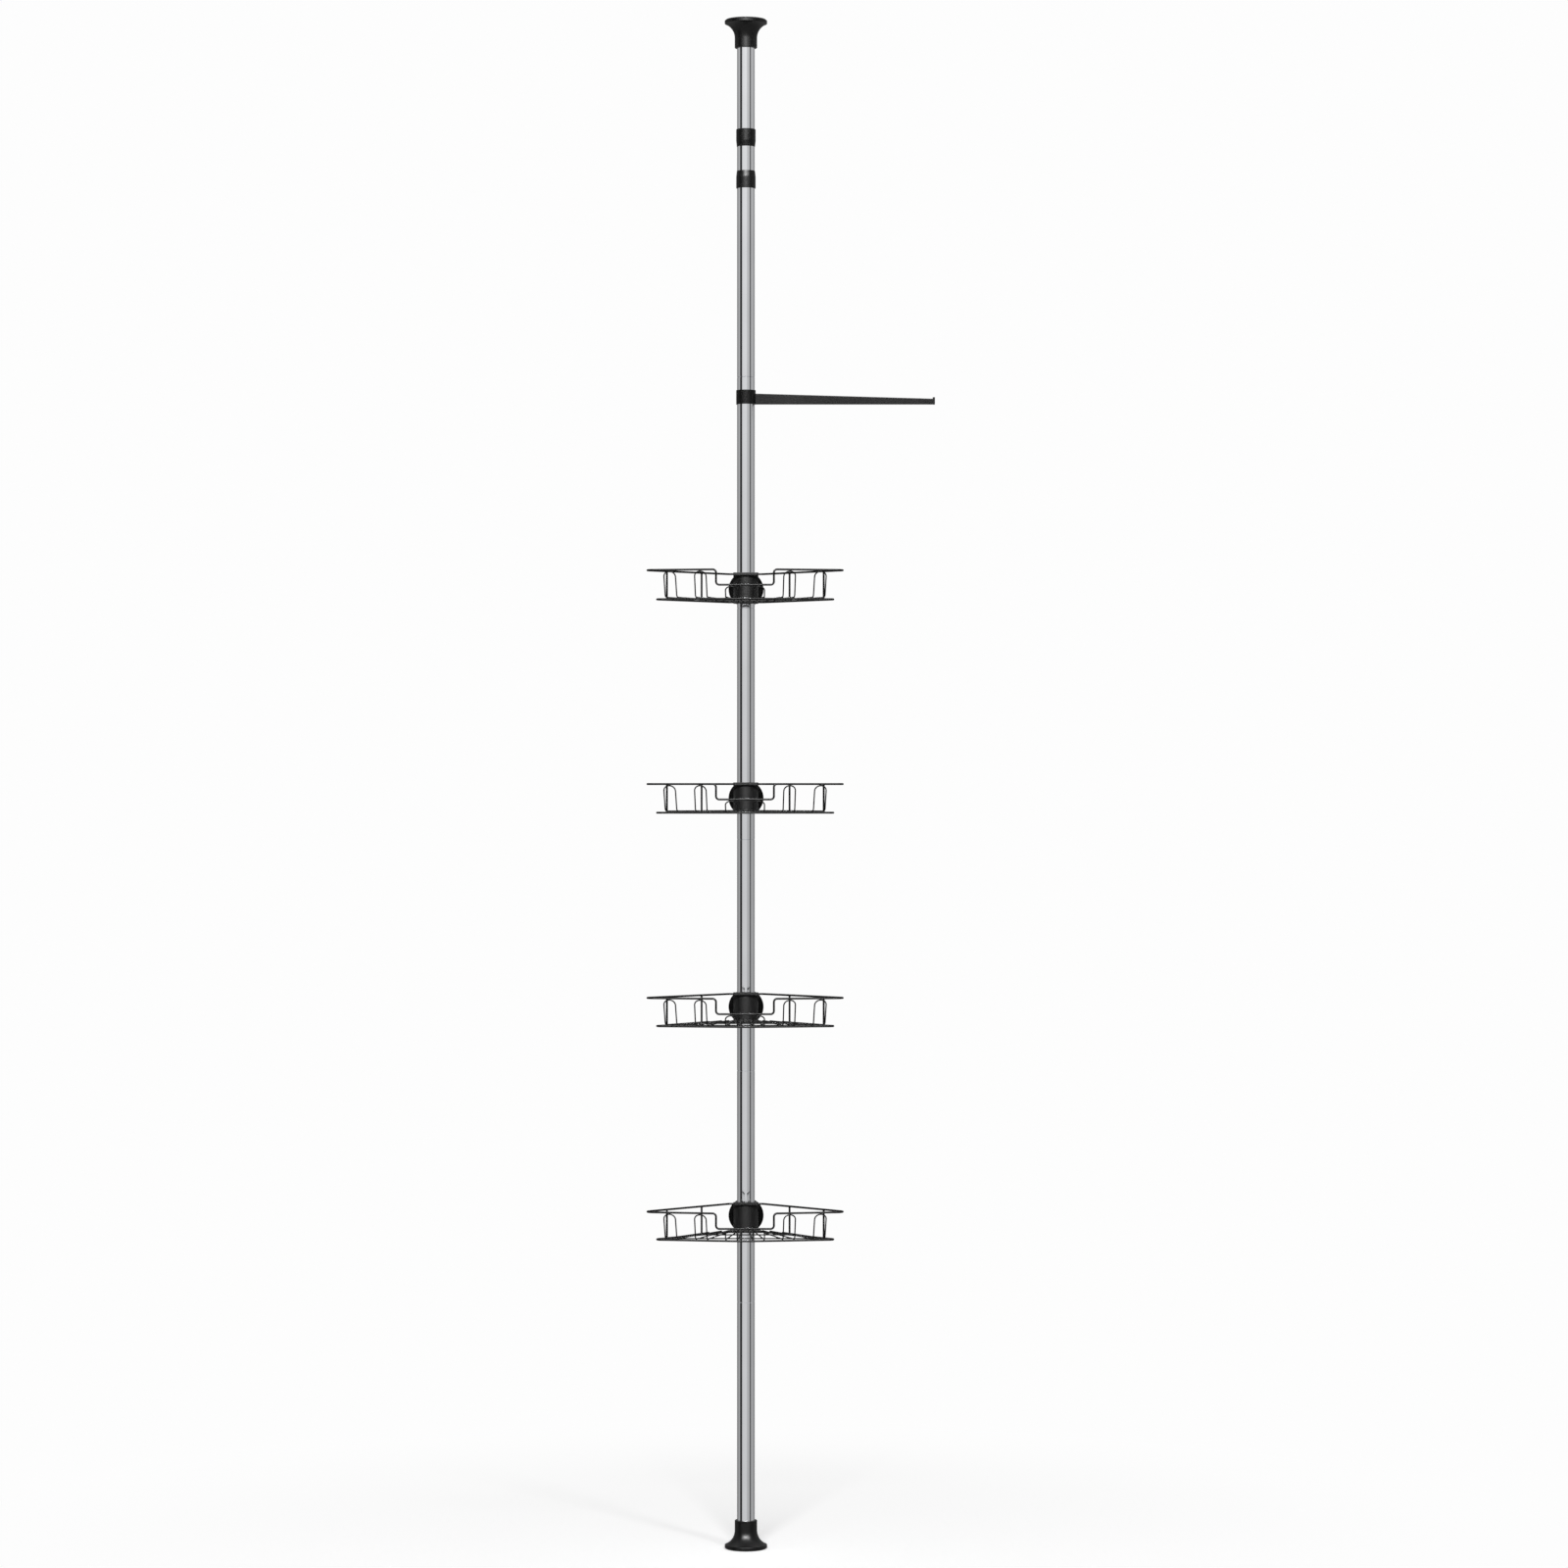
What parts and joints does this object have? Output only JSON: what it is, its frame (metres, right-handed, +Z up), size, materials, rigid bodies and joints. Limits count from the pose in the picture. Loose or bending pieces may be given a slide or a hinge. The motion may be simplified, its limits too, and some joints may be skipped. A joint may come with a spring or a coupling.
{
  "type": "tension pole shelf unit",
  "caption": "Floor-to-ceiling chrome pole with a screw tension adjuster, sliding wire corner baskets on clamp brackets and a swivelling towel arm.",
  "frame": {"origin": "on the floor under the pole's axis, at the middle of the rubber sole", "axes": "+Z up along the pole to the ceiling pad; -Y towards the front, where the baskets open; +X towards the towel arm"},
  "size_m": [0.4034, 0.1973, 2.16],
  "materials": {
    "chrome": "bright chrome plate",
    "black_plastic": "satin black moulding",
    "arm_plastic": "satin black moulding",
    "grey_plastic": "plain nylon",
    "rubber": "matt black rubber",
    "black_wire": "satin black powder coat",
    "brass": "turned brass",
    "zinc_steel": "zinc plated"
  },
  "bodies": {
    "pole": {"foot_cup": "black_plastic", "foot_pad": "rubber", "tube_1": "chrome", "tube_2": "chrome", "tube_3": "chrome", "tube_4": "chrome", "tube_5": "chrome", "tube_6": "chrome", "tube_couplers": "grey_plastic", "lower_collar": "black_plastic", "barrel_bush": "grey_plastic"},
    "barrel": {"barrel_tube": "chrome", "barrel_nut": "brass"},
    "top": {"upper_collar": "black_plastic", "top_plug": "grey_plastic", "jack_screw": "zinc_steel", "top_tube": "chrome", "ceiling_cup": "black_plastic", "ceiling_pad": "rubber"},
    "arm_sleeve": {"arm_liner": "grey_plastic"},
    "arm": {"towel_arm": "arm_plastic"},
    "sleeve_1": {"liner_1": "black_plastic"},
    "basket_1": {"rim_wire_1": "black_wire", "floor_frame_1": "black_wire", "guard_wires_1": "black_wire", "bracket_1": "black_plastic", "threaded_insert_1": "brass"},
    "shoe_1": {"clamp_shoe_1": "rubber"},
    "clamp_1": {"knob_1": "black_plastic", "clamp_screw_1": "zinc_steel"},
    "sleeve_2": {"liner_2": "black_plastic"},
    "basket_2": {"rim_wire_2": "black_wire", "floor_frame_2": "black_wire", "guard_wires_2": "black_wire", "bracket_2": "black_plastic", "threaded_insert_2": "brass"},
    "shoe_2": {"clamp_shoe_2": "rubber"},
    "clamp_2": {"knob_2": "black_plastic", "clamp_screw_2": "zinc_steel"},
    "sleeve_3": {"liner_3": "black_plastic"},
    "basket_3": {"rim_wire_3": "black_wire", "floor_frame_3": "black_wire", "guard_wires_3": "black_wire", "bracket_3": "black_plastic", "threaded_insert_3": "brass"},
    "shoe_3": {"clamp_shoe_3": "rubber"},
    "clamp_3": {"knob_3": "black_plastic", "clamp_screw_3": "zinc_steel"},
    "sleeve_4": {"liner_4": "black_plastic"},
    "basket_4": {"rim_wire_4": "black_wire", "floor_frame_4": "black_wire", "guard_wires_4": "black_wire", "bracket_4": "black_plastic", "threaded_insert_4": "brass"},
    "shoe_4": {"clamp_shoe_4": "rubber"},
    "clamp_4": {"knob_4": "black_plastic", "clamp_screw_4": "zinc_steel"}
  },
  "joints": [
    {"name": "barrel_turn", "type": "hinge", "parent": "pole", "child": "barrel", "pos_m": [0, 0, 1.96], "axis": [0, 0, -1], "range_deg": [0, 2880]},
    {"name": "top_lift", "type": "slide", "parent": "pole", "child": "top", "axis": [0, 0, 1], "range_m": [0, 0.04]},
    {"name": "arm_height", "type": "slide", "parent": "pole", "child": "arm_sleeve", "axis": [0, 0, 1], "range_m": [-0.09, 0.25]},
    {"name": "arm_swing", "type": "hinge", "parent": "arm_sleeve", "child": "arm", "pos_m": [0, 0, 1.6265], "axis": [0, 0, 1], "continuous": true},
    {"name": "height_1", "type": "slide", "parent": "pole", "child": "sleeve_1", "axis": [0, 0, 1], "range_m": [-0.12, 0.12]},
    {"name": "swing_1", "type": "hinge", "parent": "sleeve_1", "child": "basket_1", "pos_m": [0, 0, 1.35595], "axis": [0, 0, 1], "continuous": true},
    {"name": "shoe_press_1", "type": "slide", "parent": "basket_1", "child": "shoe_1", "axis": [0, 1, 0], "range_m": [0, 0.002]},
    {"name": "knob_turn_1", "type": "hinge", "parent": "shoe_1", "child": "clamp_1", "pos_m": [0, 0.02, 1.35595], "axis": [0, 1, 0], "range_deg": [0, 720]},
    {"name": "height_2", "type": "slide", "parent": "pole", "child": "sleeve_2", "axis": [0, 0, 1], "range_m": [-0.12, 0.12]},
    {"name": "swing_2", "type": "hinge", "parent": "sleeve_2", "child": "basket_2", "pos_m": [0, 0, 1.06015], "axis": [0, 0, 1], "continuous": true},
    {"name": "shoe_press_2", "type": "slide", "parent": "basket_2", "child": "shoe_2", "axis": [0, 1, 0], "range_m": [0, 0.002]},
    {"name": "knob_turn_2", "type": "hinge", "parent": "shoe_2", "child": "clamp_2", "pos_m": [0, 0.02, 1.06015], "axis": [0, 1, 0], "range_deg": [0, 720]},
    {"name": "height_3", "type": "slide", "parent": "pole", "child": "sleeve_3", "axis": [0, 0, 1], "range_m": [-0.12, 0.12]},
    {"name": "swing_3", "type": "hinge", "parent": "sleeve_3", "child": "basket_3", "pos_m": [0, 0, 0.76435], "axis": [0, 0, 1], "continuous": true},
    {"name": "shoe_press_3", "type": "slide", "parent": "basket_3", "child": "shoe_3", "axis": [0, 1, 0], "range_m": [0, 0.002]},
    {"name": "knob_turn_3", "type": "hinge", "parent": "shoe_3", "child": "clamp_3", "pos_m": [0, 0.02, 0.76435], "axis": [0, 1, 0], "range_deg": [0, 720]},
    {"name": "height_4", "type": "slide", "parent": "pole", "child": "sleeve_4", "axis": [0, 0, 1], "range_m": [-0.4, 0.12]},
    {"name": "swing_4", "type": "hinge", "parent": "sleeve_4", "child": "basket_4", "pos_m": [0, 0, 0.46855], "axis": [0, 0, 1], "continuous": true},
    {"name": "shoe_press_4", "type": "slide", "parent": "basket_4", "child": "shoe_4", "axis": [0, 1, 0], "range_m": [0, 0.002]},
    {"name": "knob_turn_4", "type": "hinge", "parent": "shoe_4", "child": "clamp_4", "pos_m": [0, 0.02, 0.46855], "axis": [0, 1, 0], "range_deg": [0, 720]}
  ],
  "couplings": [
    {"joint": "barrel_turn", "follows": "top_lift", "rad_per_m": 1256.6},
    {"joint": "shoe_press_1", "follows": "knob_turn_1", "m_per_rad": 0.00015915},
    {"joint": "shoe_press_2", "follows": "knob_turn_2", "m_per_rad": 0.00015915},
    {"joint": "shoe_press_3", "follows": "knob_turn_3", "m_per_rad": 0.00015915},
    {"joint": "shoe_press_4", "follows": "knob_turn_4", "m_per_rad": 0.00015915}
  ]
}
